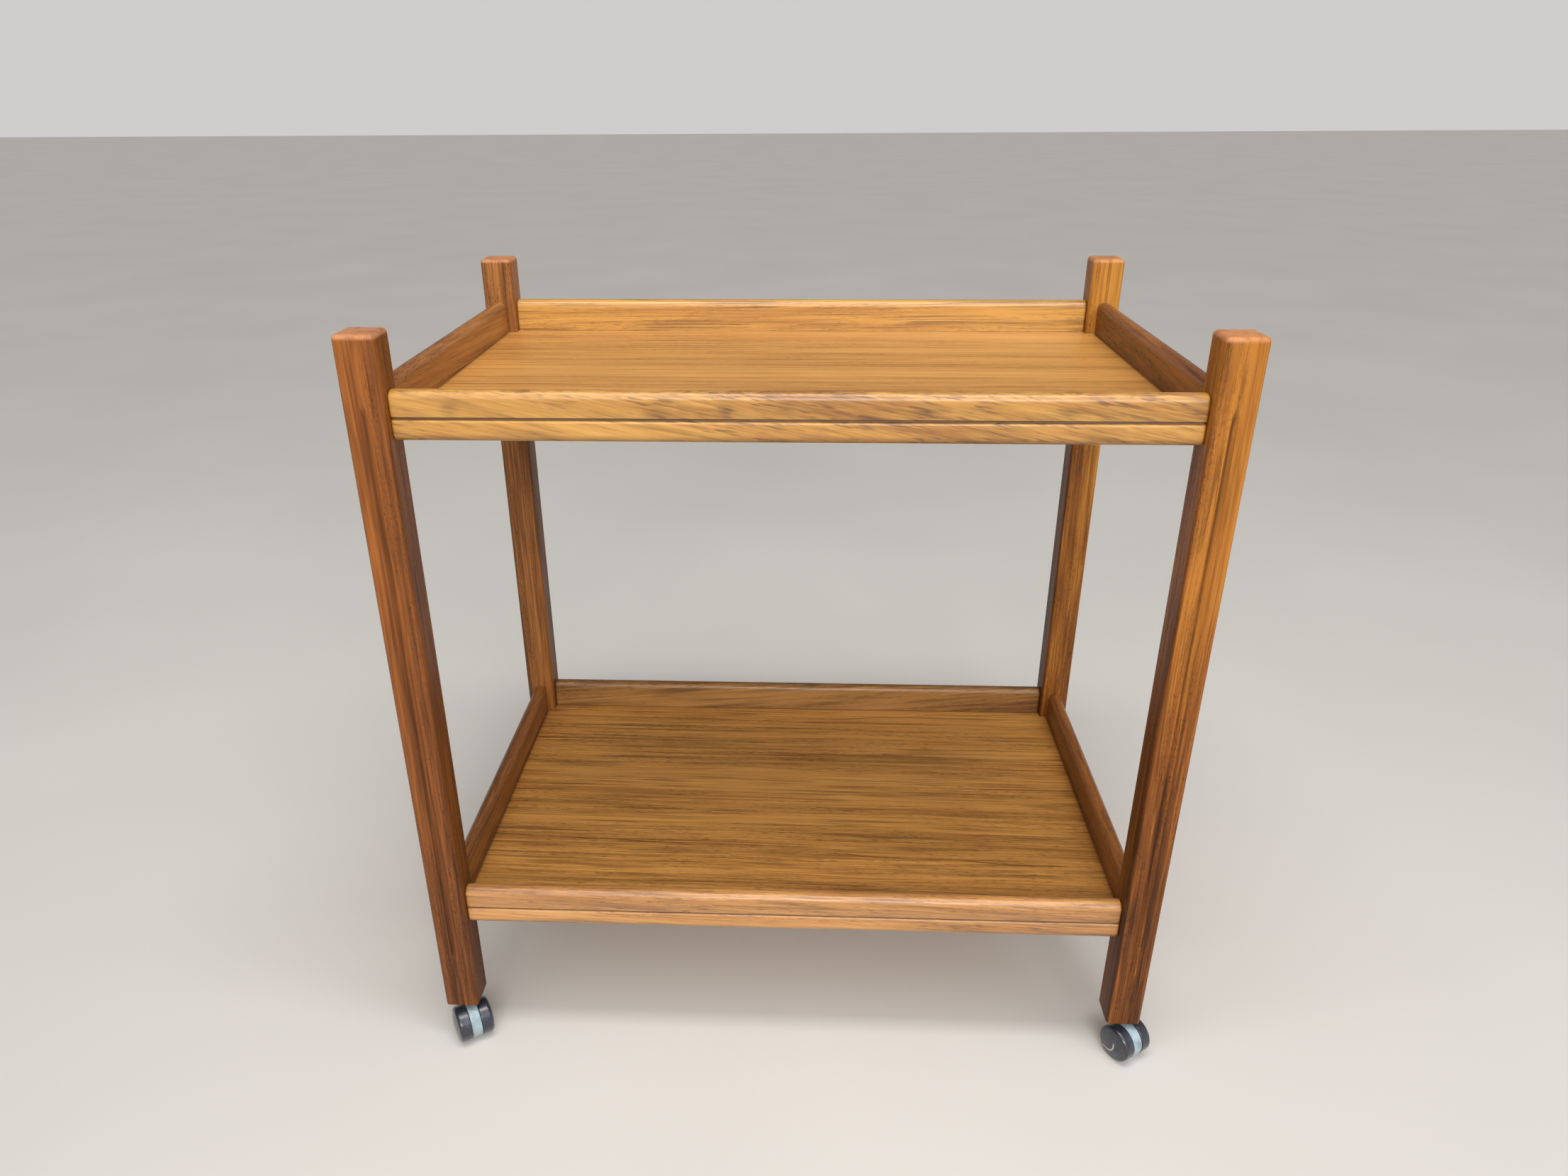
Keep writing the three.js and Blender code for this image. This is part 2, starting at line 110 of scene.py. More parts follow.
def post_column(foot, top):
    """The height of each ring from foot to top, and how far it is drawn in. The rings stand close
    where the foot is broken, where the cove runs in and out, and round the top edge."""
    foot_in, foot_up = quarter_round(POST_ARRIS, 3)
    top_in, top_down = quarter_round(POST_TOP_ROUND, 9)
    cove_low, cove_high = foot + FLUTE_ABOVE_FOOT, top - FLUTE_UNDER_TOP
    edge = top - POST_CROWN
    runout = np.linspace(0, 1, 15) * FLUTE_RUNOUT
    plain = np.linspace(cove_low + FLUTE_RUNOUT, cove_high - FLUTE_RUNOUT, 14)[1:-1]
    side = np.concatenate([
        [foot + 2 * POST_ARRIS, cove_low - 1 * MM], cove_low + runout, plain,
        cove_high - runout[::-1], [cove_high + 1 * MM, top - POST_TOP_ROUND - 0.4 * MM]])
    z = np.concatenate([foot + foot_up[::-1], side, edge - top_down])
    return z, np.concatenate([foot_in[::-1], np.zeros(len(side)), top_in])


def cove_sink(z, t, foot, top):
    """How deep each point sinks into the cove: sqrt(R^2 - t^2) - (R - depth) at a distance t from
    its middle, where depth follows a quarter sine at the cove's two ends."""
    from_ends = np.minimum(z - (foot + FLUTE_ABOVE_FOOT), (top - FLUTE_UNDER_TOP) - z)
    depth = FLUTE_DEPTH * np.sin(np.clip(from_ends / FLUTE_RUNOUT, 0, 1) * np.pi / 2)[:, None]
    bow = np.sqrt(np.clip(FLUTE_RADIUS**2 - t**2, 0, None))
    return np.clip(bow - (FLUTE_RADIUS - depth), 0, None) * (depth > 0)


def post_rings(low, high, flute_side):
    """The eased square carried up the post, each ring drawn in along the outline's outward
    direction, with the cove down the first side. Below it is the bore up the foot, from its blind
    end down; above it, the slightly crowned top."""
    half = (high.x - low.x) / 2
    middle = (low + high) / 2
    cove = np.linspace(-FLUTE_HALF, FLUTE_HALF, 25)
    plain = np.array([-1, -0.97, -0.6, -0.34]) * (half - POST_EDGE)
    across = np.concatenate([plain, cove, -plain[::-1]])
    outline, outward = eased_square(half, POST_EDGE, across)
    z, inset = post_column(low.z, high.z)
    first_side = np.arange(len(outline)) < len(across)
    t = np.where(first_side, outline.real, half)
    body = outline - (inset[:, None] + cove_sink(z, t, low.z, high.z)) * outward
    shrink = np.array([0.97, 0.6, 0.3])
    cap = body[-1] * shrink[:, None]
    cap_z = high.z - POST_CROWN + POST_CROWN * (1 - shrink**2)
    circle = FOOT_BORE * body[0] / abs(body[0])
    bore = np.stack([circle, circle, circle, circle * 1.05, body[0] * 0.97])
    bore_top = low.z + FOOT_BORE_DEPTH
    bore_z = np.array([bore_top, bore_top - 1 * MM, low.z + 0.3 * MM, low.z, low.z])
    plan = np.concatenate([bore, body, cap]) * (1 if flute_side < 0 else -1)
    height = np.broadcast_to(np.concatenate([bore_z, z, cap_z])[:, None], plan.shape)
    return np.stack([middle.x + plan.real, middle.y + plan.imag, height], -1)


class Tone:
    """A number, shade or direction that changes over a piece: one output of its shader nodes.
    Arithmetic on numbers adds a Math node for each step."""

    def __init__(self, tree, socket=None):
        self.tree, self.socket = tree, socket

    def node(self, kind, settings=None, inputs=None, output=0):
        """Adds a node of this kind beside the value's own: its settings first, then the numbers
        or links of its sockets. It gives back the output asked for."""
        made = self.tree.nodes.new("ShaderNode" + kind)
        for setting, value in (settings or {}).items():
            if setting == "stops":
                ramp = made.color_ramp.elements
                for stop, shade in value[1:-1]:
                    ramp.new(stop).color = shade
                ramp[0].position, ramp[0].color = value[0]
                ramp[-1].position, ramp[-1].color = value[-1]
            else:
                setattr(made, setting, value)
        for key, value in (inputs or {}).items():
            if isinstance(value, Tone):
                self.tree.links.new(value.socket, made.inputs[key])
            else:
                made.inputs[key].default_value = value
        return Tone(self.tree, made.outputs[output] if made.outputs else None)

    def math(self, operation, first, second=0.0):
        return self.node("Math", {"operation": operation}, {0: first, 1: second})

    def __add__(self, other):
        return self.math("ADD", self, other)

    def __sub__(self, other):
        return self.math("SUBTRACT", self, other)

    def __rsub__(self, other):
        return self.math("SUBTRACT", other, self)

    def __mul__(self, other):
        return self.math("MULTIPLY", self, other)

    def __abs__(self):
        return self.math("ABSOLUTE", self)

    __radd__, __rmul__ = __add__, __mul__

    def step(self, low, high):
        """0 below low, 1 above high and an S-shaped rise between: 3 s^2 - 2 s^3."""
        kind = {"interpolation_type": "SMOOTHSTEP"}
        return self.node("MapRange", kind, {0: self, 1: low, 2: high})

    def part(self, axis):
        return self.node("SeparateXYZ", None, {0: self}, axis)

    def shift(self, other):
        """Vector sum."""
        return self.node("VectorMath", {"operation": "ADD"}, {0: self, 1: other})

    def spread(self, x, y, z):
        """Each coordinate times its own number."""
        return self.node("VectorMath", {"operation": "MULTIPLY"}, {0: self, 1: (x, y, z)})

    def cloud(self, along, across, detail=2.0, output="Fac"):
        """Noise with this many cycles a metre along the grain and across it."""
        drawn = self.spread(along, across, across)
        grain = {"Vector": drawn, "Scale": 1.0, "Detail": detail, "Roughness": 0.55}
        return self.node("TexNoise", None, grain, output)

    def ramp(self, *stops):
        """The shade read off a row of (value, shade) stops."""
        return self.node("ValToRGB", {"stops": stops}, {0: self})

    def cover(self, shade, mask):
        """This shade with another laid on it where the mask is 1."""
        return self.node("Mix", {"data_type": "RGBA"}, {0: mask, 6: self, 7: shade}, 2)


def chart(red, green, blue):
    """A shade read off a colour chart, 0 to 255, as the light that it gives back:
    ((s + 0.055) / 1.055) ^ 2.4 for each share s of full strength."""
    share = np.array([red, green, blue]) / 255
    return (*(((share + 0.055) / 1.055) ** 2.4).tolist(), 1.0)


def new_material(name):
    """An empty material, and where each of its points lies on the piece."""
    material = bpy.data.materials.new(name)
    material.use_nodes = True
    material.node_tree.nodes.clear()
    return material, Tone(material.node_tree).node("TexCoord", output="Object")


def surface(place, inputs):
    """Ends a material's nodes in a surface with these numbers and links."""
    finish = place.node("BsdfPrincipled", None, inputs)
    place.node("OutputMaterial", None, {"Surface": finish})


def patch(place, centre, size):
    """A soft round mark: 1 at the centre, falling to 0 where the distance, each coordinate over
    its own size, reaches 1."""
    away = place.shift(tuple(-c for c in centre)).spread(*(1 / s for s in size))
    return away.node("VectorMath", {"operation": "LENGTH"}, {0: away}, "Value").step(1.0, 0.0)


def marks(place, p, shade, ink, stains, strokes):
    """The wood with its single marks: stains, soft dark patches broken up by noise, and strokes,
    thin dark lines y = a + b x that wander by up to 7 mm."""
    for centre, size, depth in stains:
        broken = p.cloud(60, 420, 2.0).step(0.36, 0.62) * 0.6 + 0.4
        shade = shade.cover(ink, patch(place, centre, size) * broken * depth)
    for start, slope, width, depth in strokes:
        drift = p.cloud(9, 30, 1.0) * (14 * MM) - 7 * MM
        away = abs(place.part(1) - place.part(0) * slope - start + drift)
        stroke = away.step(width, width * 0.2) * (p.cloud(22, 60, 1.0).step(0.3, 0.62) * depth)
        shade = shade.cover(ink, stroke)
    return shade


def teak(name, lay, shades, seed, broad=0.3, lines=0.3, fine=0.25, run=5, veins=0.35,
         vein_pitch=90, flecks=0.5, fleck_run=90, fleck_pitch=1000, stains=(), strokes=(),
         lift=None, soil_and_painted_light=None, glue_and_highlight_shade=(206, 186, 160), oil=0.3, rough=0.4, shine=0.5):
    """Teak as cut along its grain. Object coordinates are turned by lay so that the grain runs
    along x, and swayed a little. Noise drawn out along the grain, broad, line and fine, is summed,
    lift added, and the sum read off three shades, dark, body and light. On the posts, lift holds a
    painted shadow and a painted highlight. A vein is where a slow noise passes its middle value,
    |n - 0.5| near 0. Short pores in crowds darken the wood and dent it. Two masks may be laid on
    last: a dark one, real dirt along the board edges but painted shade on the posts and rails, and
    a pale one, glue on the boards but a painted highlight on the post tops."""
    material, place = new_material(name)
    turned = place.node("Mapping", None, {0: place, 1: (seed * 0.731, seed * 0.393, 0), 2: lay})
    sway = turned.cloud(4, 16, 1.0, "Color").shift((-0.5, -0.5, -0.5))
    p = turned.shift(sway.spread(0, 0.006, 0.006))
    band = p.cloud(1.6, 26, 2.0)
    line = p.cloud(run, 260, 3.0)
    thin = p.cloud(run * 3.5, 800, 2.0)
    tone = band * broad + line * lines + thin * fine + 0.5 * (1 - broad - lines - fine)
    if lift is not None:
        tone = tone + lift(place)
    dark, body, light = (chart(*shade) for shade in shades)
    shade = tone.ramp((0.36, dark), (0.5, body), (0.64, light))
    ink = (*(0.3 * c for c in dark[:3]), 1.0)
    vein = abs(p.cloud(run * 0.5, vein_pitch, 1.0) - 0.5).step(0.085, 0.01)
    vein = vein * p.cloud(9, 60, 2.0).step(0.36, 0.62)
    shade = shade.cover(ink, vein * veins)
    crowd = p.cloud(14, 130, 2.0).step(0.34, 0.58) * band.step(0.68, 0.44)
    pore = p.cloud(fleck_run, fleck_pitch, 1.0).step(0.52, 0.68) * crowd
    shade = shade.cover(ink, pore * flecks)
    shade = marks(place, p, shade, ink, stains, strokes)
    relief = thin * 0.5 - pore - vein * 0.5
    wear = place.cloud(12, 12, 3.0)
    finish_rough = wear * 0.16 + (rough - 0.08) + pore * 0.2
    if soil_and_painted_light is not None:
        # The dark mask is painted shade on the posts and rails and real dirt on the boards; the
        # pale one is glue on the boards and a painted highlight on the post tops.
        grime_and_shadow, dust = soil_and_painted_light(place)
        shade = shade.cover(ink, grime_and_shadow)
        if dust is not None:
            shade = shade.cover(chart(*glue_and_highlight_shade), dust)
        finish_rough = finish_rough + grime_and_shadow * 0.3
    bump = place.node("Bump", None, {"Strength": 0.22, "Distance": 0.0004, "Height": relief})
    surface(place, {
        "Base Color": shade, "Roughness": finish_rough, "Normal": bump, "IOR": 1.45,
        "Specular IOR Level": shine, "Coat Weight": oil, "Coat Roughness": 0.36})
    return material


def dress(piece, material):
    """Gives a piece its only material."""
    piece.data.materials.clear()
    piece.data.materials.append(material)


# The teak of each post. It turns golden towards the top (from, to, how much), and its outside
# face has a dark stripe of heartwood (offset, half width, how much).
POSTS = {
    "front_left": dict(shades=((64, 33, 10), (116, 66, 28), (156, 92, 40)),
                       golden=(0.5, 0.72, 0.04), heart=(-4 * MM, 9 * MM, 0.05)),
    "front_right": dict(shades=((64, 32, 8), (134, 76, 27), (178, 114, 42)),
                        golden=(0.25, 0.7, 0.1), heart=(8 * MM, 12 * MM, 0.06)),
    "rear_left": dict(shades=((72, 40, 17), (122, 76, 37), (176, 114, 58)),
                      golden=(0.5, 0.72, 0.12), heart=(0, 12 * MM, 0.03)),
    "rear_right": dict(shades=((82, 43, 12), (138, 84, 31), (190, 130, 50)),
                       golden=(0.5, 0.72, 0.07), heart=(0, 12 * MM, 0.03)),
}
for seed, corner in enumerate(CORNERS):
    node = "leg_" + corner
    low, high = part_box(node)
    facing = -1 if "front" in corner else 1
    shades, golden, heart = POSTS[corner].values()

    def cove(place, low=low, high=high, facing=facing):
        """How far a point is across the outside face, from the cove's middle line to the right,
        and a mask that is 1 on that face along the cove's length."""
        t = place.part(0) - (low.x + high.x) / 2
        face = low.y if facing < 0 else high.y
        near_face = ((place.part(1) - face) * -facing).step(3 * MM, 2.4 * MM)
        z = place.part(2)
        ends = z.math("MINIMUM", z - (low.z + FLUTE_ABOVE_FOOT), (high.z - FLUTE_UNDER_TOP) - z)
        return t, near_face, near_face * ends.step(0.0, 0.012)

    # How dark the painted shadow on the inner side under the upper tray is.
    inner, tray_shadow_depth = (high.x, 0.03) if "left" in corner else (low.x, 0.09)

    def post_lift(place, cove=cove, golden=golden, heart=heart, inner=inner, tray_shadow_depth=tray_shadow_depth):
        """Golden towards the top and dark down the heart stripe. A painted shadow darkens the
        inner side under the upper tray, and a painted highlight makes the edge right of the cove
        pale."""
        t, near_face, along = cove(place)
        start, end, much = golden
        offset, half, depth = heart
        drift = (place.cloud(5, 5, 1.0) - 0.5) * (20 * MM)
        stripe = abs(t - offset + drift).step(half, half * 0.2)
        # Painted highlight: a pale line along the edge right of the cove, where the light glints.
        arris_highlight = abs(t - 2.7 * MM).step(1.1 * MM, 0.3 * MM) * along
        # Painted shadow: the inner face is darkened below the upper tray, where it lies in shade.
        tray_shadow = abs(place.part(0) - inner).step(3 * MM, 1 * MM) * place.part(2).step(0.74, 0.68)
        return (place.part(2).step(start, end) * much - stripe * near_face * depth
                + arris_highlight * 0.12 - tray_shadow * tray_shadow_depth)

    def cove_shadow_and_top_highlight(place, cove=cove, top=high.z):
        """Painted shade in the cove, darkest left of its middle; painted highlight on the top."""
        t, near_face, along = cove(place)
        # Painted shade down the cove, where its left wall is in shadow.
        deep = abs(t + 1.1 * MM).step(2.2 * MM, 0.7 * MM) * along
        # Painted highlight: the top few millimetres are made pale pink.
        top_highlight = place.part(2).step(top - 6 * MM, top - 2.5 * MM)
        return (deep * (place.cloud(14, 14, 2.0).step(0.3, 0.6) * 0.3 + 0.2),
                top_highlight * (place.cloud(90, 90, 3.0).step(0.3, 0.6) * 0.35 + 0.25))

    post = closed_skin("post_" + corner, post_rings(low, high, facing))
    # The pale pink second shade given below is the painted highlight on the top.
    dress(post, teak(
        "post_teak_" + corner, GRAIN_UP, shades, 3 + seed, broad=0.36, lines=0.3, fine=0.26,
        veins=0.4, vein_pitch=120, flecks=0.6, fleck_run=210, fleck_pitch=1500, lift=post_lift,
        soil_and_painted_light=cove_shadow_and_top_highlight, glue_and_highlight_shade=(206, 144, 104), oil=0.1, rough=0.46, shine=0.2))
    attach(post, "frame")
    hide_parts(node)


# ---- Rails ----
# Four rails of solid teak round each tray, run through a moulding cutter: a full round top, a
# quirk along the outside face, and a quarter round above the lower band. Their ends are eased
# and butt against the posts, each on a dowel.
RAIL_TOP_ROUND = 7.5 * MM
RAIL_FOOT_ROUND = 6.2 * MM
RAIL_INNER_FOOT_ROUND = 3.2 * MM
RAIL_END_ROUND = 2.4 * MM
QUIRK_FOOT = 19.4 * MM
QUIRK_HEAD = 21.7 * MM
QUIRK_DEPTH = 2.4 * MM
BAND_ROUND = 2.6 * MM


def rail_outline(thickness, height):
    """The rail's section as complex numbers, outside face at 0 and underside at 0, the outward
    direction at each point, and how far the point sinks below the plain outline. Corners are
    quarter circles centre + r e^(ia). The lower band's shoulder rolls over by another quarter
    circle into the floor of the quirk, whose upper edge is square."""
    def corner(centre, radius, start, steps=10):
        out = np.exp(1j * np.linspace(start, start + np.pi / 2, steps))
        return centre + radius * out, out

    def straight(values, out):
        return values, np.full(len(values), out)

    r, inner, q = RAIL_FOOT_ROUND, RAIL_INNER_FOOT_ROUND, RAIL_TOP_ROUND
    near = 0.4 * MM
    band_in, band_down = quarter_round(BAND_ROUND, 9)
    shoulder = QUIRK_FOOT - band_down
    shoulder_sunk = np.minimum(band_in, QUIRK_DEPTH)
    head = QUIRK_HEAD + np.array([-1.2, -0.35, -0.12, 0.0, 0.12, 0.4]) * MM
    head_sunk = np.array([2.5, 2.4, 2.0, 0.5, 0.12, 0.0]) * MM
    face_w = np.concatenate([[r + near], shoulder, head, [height - q - near]])
    face_sunk = np.concatenate([[0.0], shoulder_sunk, head_sunk, [0.0]])
    parts = [
        corner(complex(r, r), r, np.pi),
        straight(np.array([r + near, thickness - inner - near]) + 0j, -1j),
        corner(complex(thickness - inner, inner), inner, -np.pi / 2),
        straight(thickness + 1j * np.array([inner + near, height - q - near]), 1),
        corner(complex(thickness - q, height - q), q, 0, 16),
        corner(complex(q, height - q), q, np.pi / 2, 16),
        straight(1j * face_w[::-1], -1),
    ]
    outline, outward = (np.concatenate(column) for column in zip(*parts))
    sunk = np.zeros(len(outline))
    sunk[-len(face_sunk):] = face_sunk[::-1]
    return outline, outward, sunk


def rail_rings(low, high, side):
    """The section carried along the rail, drawn in round a quarter circle at each end, and
    closed by a flat end."""
    lengthways = side in ("front", "rear")
    size = high - low
    thickness, length = (size.y, size.x) if lengthways else (size.x, size.y)
    outline, outward, sunk = rail_outline(thickness, size.z)
    end_in, end_s = quarter_round(RAIL_END_ROUND, 8)
    reach = length / 2 + 0.25 * MM
    start = np.concatenate([end_s[::-1], [RAIL_END_ROUND + 0.4 * MM]]) - reach
    s = np.concatenate([start, np.linspace(-0.45, 0.45, 9) * length, -start[::-1]])
    inset = np.concatenate([end_in[::-1], np.zeros(11), end_in])
    section = outline - (inset[:, None] + sunk) * outward
    centre = section.mean(axis=1, keepdims=True)
    caps = centre[[0, -1]] + (section[[0, -1]] - centre[[0, -1]]) * 0.93
    section = np.concatenate([caps[:1], section, caps[1:]])
    s = np.broadcast_to(np.concatenate([s[:1], s, s[-1:]])[:, None], section.shape)
    middle = (low + high) / 2
    out = {"front": (0, -1), "rear": (0, 1), "left": (-1, 0), "right": (1, 0)}[side]
    away = thickness / 2 - section.real
    x = middle.x + away * out[0] + s * abs(out[1])
    y = middle.y + away * out[1] + s * abs(out[0])
    return np.stack([x, y, low.z + section.imag], -1)


# The teak of each rail. Smudges on the upper front rail's face are (centre, size, depth).
ALONG_Y = -np.pi / 2
SMUDGES = (
    ((-0.294, -0.229, 0.727), (0.014, 0.02, 0.010), 0.55),
    ((-0.1165, -0.229, 0.7235), (0.018, 0.02, 0.009), 0.5),
    ((-0.056, -0.229, 0.7275), (0.013, 0.02, 0.012), 0.6),
    ((-0.005, -0.229, 0.729), (0.014, 0.02, 0.009), 0.5),
    ((0.11, -0.229, 0.726), (0.024, 0.02, 0.007), 0.45),
    ((-0.231, -0.229, 0.7065), (0.045, 0.02, 0.005), 0.45),
    ((0.235, -0.229, 0.7275), (0.03, 0.02, 0.006), 0.4),
)
DARK_KNOT = ((0.375, 0.03, 0.742), (0.02, 0.05, 0.02), 0.5)
RAILS = {
    "upper_front": dict(shades=((130, 78, 24), (184, 130, 54), (210, 157, 73)), lay=(0, -0.2, 0),
                        broad=0.32, lines=0.3, fine=0.24, run=12, veins=0.3, flecks=0.7,
                        fleck_run=50, fleck_pitch=520, oil=0.9, stains=SMUDGES),
    "upper_rear": dict(shades=((146, 92, 36), (198, 146, 68), (216, 166, 84)), lay=(0, 0.012, 0),
                       broad=0.18, lines=0.36, fine=0.24, run=3, veins=0.6, vein_pitch=190,
                       flecks=0.4, oil=0.7),
    "upper_left": dict(shades=((90, 50, 20), (152, 96, 46), (182, 126, 68)),
                       lay=(0.04, 0, ALONG_Y), broad=0.46, veins=0.35, flecks=0.6, oil=0.3,
                       shine=0.35),
    "upper_right": dict(shades=((70, 38, 14), (128, 75, 36), (160, 102, 52)),
                        lay=(-0.03, 0, ALONG_Y), broad=0.46, veins=0.35, flecks=0.6, oil=0.3,
                        shine=0.35, stains=(DARK_KNOT,)),
    "lower_front": dict(shades=((136, 86, 40), (188, 131, 68), (212, 156, 90)), lay=(0, -0.04, 0),
                        broad=0.4, veins=0.4, flecks=0.5, oil=0.9),
    "lower_rear": dict(shades=((100, 64, 30), (152, 107, 54), (178, 130, 72)), lay=(0, 0.09, 0),
                       broad=0.36, lines=0.34, fine=0.24, veins=0.5, flecks=0.6),
    "lower_left": dict(shades=((84, 46, 18), (138, 86, 40), (168, 112, 58)),
                       lay=(0.03, 0, ALONG_Y), broad=0.42, veins=0.35, shine=0.35),
    "lower_right": dict(shades=((92, 50, 18), (150, 92, 40), (180, 120, 58)),
                        lay=(-0.02, 0, ALONG_Y), broad=0.42, veins=0.35, shine=0.35),
}
for seed, (place_name, grain) in enumerate(RAILS.items()):
    node = "rail_" + place_name
    tier, side = place_name.split("_")
    low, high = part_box(node)
    axis = 1 if side in ("front", "rear") else 0
    sign = -1 if side in ("front", "left") else 1
    face = low[axis] if sign < 0 else high[axis]

    def quirk_and_foot_shadow(place, foot=low.z, axis=axis, sign=sign, face=face):
        """Painted shade, black in the quirk by its height above the rail's underside, and a little
        painted shade along the foot, darker towards the underside."""
        # Painted shade in the recess of the quirk.
        height = abs(place.part(2) - (foot + (QUIRK_FOOT + QUIRK_HEAD) / 2))
        outside = ((place.part(axis) - face) * -sign).step(4 * MM, 3 * MM)
        # Painted shade: darker towards the rail's underside, which is in shadow.
        foot_shadow = (place.part(2) - foot).step(9 * MM, 2 * MM)
        return height.step(1.6 * MM, 0.9 * MM) * outside * 0.9 + foot_shadow * 0.35, None

    rail = closed_skin("moulded_" + node, rail_rings(low, high, side))
    dress(rail, teak("rail_teak_" + place_name, seed=11 + seed, soil_and_painted_light=quirk_and_foot_shadow, **grain))
    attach(rail, "frame")
    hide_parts(node)
    "rail_teak" if side in ("front", "rear") else "side_rail_teak"


# ---- Boards ----
# The bed of each tray is a thin board veneered with teak, its grain lengthways. It is let in
# between the rails, notched round the posts, and glued; a little old glue and polish shows in
# the corners.
BOARD_TOP = 8 * MM
BOARD_THICKNESS = 6 * MM
BOARD_ARRIS = 0.4 * MM


def board_rings(low, high, rail_in, post_in):
    """The board's outline, a rectangle with a square notch at each corner, carried up its
    thickness. At the upper and the lower edge a small quarter round draws every corner in along
    both of its sides."""
    ix, iy = rail_in
    px, py = post_in
    corner = np.array([[ix, py], [px, py], [px, iy]])
    signs = np.array([[1, 1], [-1, 1], [-1, -1], [1, -1]])
    outline = np.concatenate([corner[::step] * sign for sign, step in zip(signs, (1, -1, 1, -1))])
    outward = np.repeat(signs, 3, axis=0)
    arris_in, arris_z = quarter_round(BOARD_ARRIS, 5)
    inset = np.concatenate([[2 * BOARD_ARRIS], arris_in[::-1], arris_in, [2 * BOARD_ARRIS]])
    z = np.concatenate([[low], low + arris_z[::-1], high - arris_z, [high]])
    plan = outline - inset[:, None, None] * outward
    return np.concatenate([plan, np.broadcast_to(z[:, None, None], (*plan.shape[:2], 1))], -1)


# The veneer of each board. A stroke is (height at x = 0, slope, half width, depth).
BOARDS = {
    "upper": dict(shades=((152, 98, 42), (200, 142, 71), (220, 162, 88)), lay=(0, 0, 0),
                  broad=0.28, lines=0.34, fine=0.36, run=3, veins=0.16, vein_pitch=170, flecks=0.3,
                  strokes=((0.118, 0.012, 0.0012, 0.45), (-0.06, -0.02, 0.001, 0.35))),
    "lower": dict(shades=((132, 85, 34), (190, 134, 63), (212, 156, 80)), lay=(0, 0, 0.012),
                  broad=0.34, lines=0.36, fine=0.34, run=3, veins=0.5, vein_pitch=130, flecks=0.6,
                  rough=0.42,
                  strokes=((-0.1065, -0.0612, 0.0014, 0.8), (0.1815, 0.075, 0.0012, 0.7),
                           (0.1475, 0.06, 0.001, 0.4), (0.035, -0.03, 0.001, 0.45))),
}
for seed, tier in enumerate(("lower", "upper")):
    node = "board_" + tier
    inner_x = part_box(f"rail_{tier}_right")[0].x
    inner_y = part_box(f"rail_{tier}_rear")[0].y
    post_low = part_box("leg_rear_right")[0]
    rail_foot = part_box(f"rail_{tier}_front")[0].z
    top = rail_foot + BOARD_TOP
    board = closed_skin("bed_" + node, board_rings(
        top - BOARD_THICKNESS, top, (inner_x, inner_y), (post_low.x, post_low.y)))

    def rim(place, inner=(inner_x, inner_y), post=(post_low.x, post_low.y)):
        """Grime in the last few millimetres by the rails, by the gap inner - |p|, and crumbs of
        pale glue by the posts."""
        ax, ay = abs(place.part(0)), abs(place.part(1))
        gap = place.math("MINIMUM", inner[0] - ax, inner[1] - ay)
        by_post = place.math("MINIMUM", ax - (post[0] - 9 * MM), ay - (post[1] - 9 * MM))
        crumbs = place.cloud(300, 300, 2.0).step(0.42, 0.6)
        dust = by_post.step(0.0, 0.006) * gap.step(0.004, 0.001) * crumbs * 0.7
        return gap.step(0.0035, 0.0008) * 0.7, dust

    dress(board, teak("veneer_" + tier, seed=31 + seed, soil_and_painted_light=rim, **BOARDS[tier]))
    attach(board, "frame")
    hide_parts(node)
    tier + "_veneer"


# ---- Dowels ----
# Sixteen 8 mm beech dowels, one in each end of each rail, glued blind into rail and post, so
# they don't show. They keep the shape that the joinery gives them.
def beech():
    """Pale beech, finely mottled and alike in all directions, as a turned dowel looks."""
    material, place = new_material("dowel_beech")
    mottle = place.cloud(400, 400, 3.0)
    shade = mottle.ramp((0.35, chart(190, 150, 104)), (0.65, chart(226, 194, 150)))
    surface(place, {"Base Color": shade, "Roughness": mottle * 0.2 + 0.55})
    return material


dowel_beech = beech()
for name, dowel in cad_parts.items():
    if name.startswith("dowel_"):
        dress(dowel, dowel_beech)


# ---- Castor sockets, stems and axles ----
# Zinc-plated steel: a flanged socket driven up each post's foot, a stem that turns in it, and
# an axle pressed through the housing for the two wheels.
SOCKET_FLANGE = 9 * MM
SOCKET_FLANGE_THICKNESS = 1.3 * MM
SOCKET_BORE = 4.4 * MM
SOCKET_TUBE = 5.7 * MM
SOCKET_ARRIS = 0.2 * MM


def zinc():
    """Bright zinc plate: a patchy grey, shinier where the patches are pale."""
    material, place = new_material("zinc_steel")
    patchy = place.cloud(260, 260, 4.0)
    shade = patchy.ramp((0.3, chart(150, 152, 154)), (0.7, chart(206, 208, 208)))
    surface(place, {"Base Color": shade, "Metallic": 1.0, "Roughness": 0.5 - patchy * 0.3})
    return material


def turned_rings(profile, centre, sides, turn=0.0, along="z"):
    """A profile of [radius, height] points swung round an axis: x = r cos a, y = r sin a, for
    sides steps of a. The axis is z, or x turned by the angle turn about z."""
    radius, height = np.asarray(profile, float).T
    a = np.linspace(0, 2 * np.pi, sides, endpoint=False)
    u = radius[:, None] * np.cos(a)
    v = radius[:, None] * np.sin(a)
    h = np.broadcast_to(height[:, None], u.shape)
    if along == "z":
        local = np.stack([u, v, h], -1)
    else:
        cos, sin = np.cos(turn), np.sin(turn)
        local = np.stack([h * cos - u * sin, h * sin + u * cos, v], -1)
    return local + np.array(centre)


